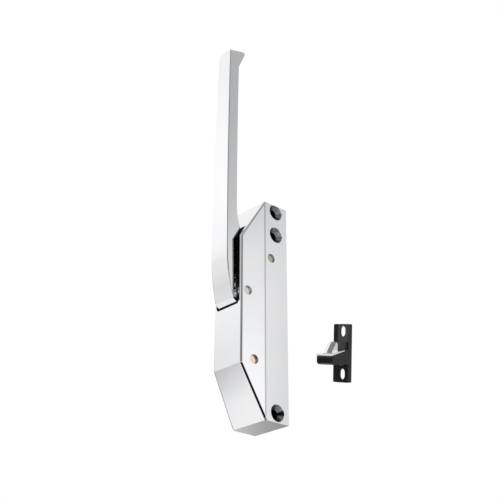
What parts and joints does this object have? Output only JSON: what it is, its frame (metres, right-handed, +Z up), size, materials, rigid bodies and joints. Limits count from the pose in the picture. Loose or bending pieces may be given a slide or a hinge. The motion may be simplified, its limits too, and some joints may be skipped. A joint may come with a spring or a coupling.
{
  "type": "handle latch",
  "caption": "Edge-mount lever latch: wedge-ended die-cast casing, long hooked handle, pull link, sprung hook bolt, and a separate slotted strike with a wear plate and tooth.",
  "frame": {"origin": "on the axis of the lower fixing screw's hole, in the casing's middle plane", "axes": "+X out of the countersinks, across the casing; +Y to the casing's open rear, so the handle faces -Y; +Z up along the casing towards the handle's hooked end"},
  "size_m": [0.0454, 0.1071, 0.2825],
  "materials": {
    "polished_chrome": "polished",
    "plated_steel": "satin",
    "bronze": "satin",
    "zinc_plated_steel": "satin",
    "spring_steel": "satin",
    "acetal": "satin",
    "black_rubber": "matte",
    "black_coating": "semi-gloss"
  },
  "bodies": {
    "latch_body": {"casing": "polished_chrome", "handle_pivot_pin": "plated_steel", "bolt_pivot_pin": "bronze", "spring_anchor_pin": "plated_steel", "handle_pivot_washers": "acetal", "bolt_pivot_spacers": "acetal", "spring_anchor_sleeves": "acetal", "handle_rest_pad": "black_rubber", "handle_return_spring": "spring_steel", "bolt_torsion_spring": "spring_steel", "strike_bracket": "black_coating", "strike_wear_plate": "polished_chrome", "strike_rivets": "plated_steel"},
    "handle_body": {"handle": "polished_chrome", "spring_hook_pin": "plated_steel", "link_upper_pin": "plated_steel", "link_upper_clip": "spring_steel"},
    "link_body": {"link_plates": "zinc_plated_steel"},
    "bolt_body": {"latch_bolt": "zinc_plated_steel", "link_lower_pin": "plated_steel", "link_lower_clip": "spring_steel"}
  },
  "joints": [
    {"name": "handle_pivot", "type": "hinge", "parent": "latch_body", "child": "handle_body", "pos_m": [0, -0.0241, 0.0794], "axis": [1, 0, 0], "range_deg": [0, 36], "stiffness_Nm_per_rad": 0.4, "springref_deg": -20.05, "deforming": ["handle_return_spring"]},
    {"name": "link_pivot", "type": "hinge", "parent": "handle_body", "child": "link_body", "pos_m": [0, -0.01423, 0.0737], "axis": [1, 0, 0], "range_deg": [-46.5, 0]},
    {"name": "bolt_pivot", "type": "hinge", "parent": "latch_body", "child": "bolt_body", "pos_m": [0, -0.0191, 0.0323], "axis": [1, 0, 0], "range_deg": [0, 20], "stiffness_Nm_per_rad": 0.05, "springref_deg": -28.65, "deforming": ["bolt_torsion_spring"]}
  ],
  "couplings": [
    {"joint": "bolt_pivot", "follows": "handle_pivot", "ratio": 0.5555},
    {"joint": "link_pivot", "follows": "handle_pivot", "ratio": -1.2832}
  ]
}
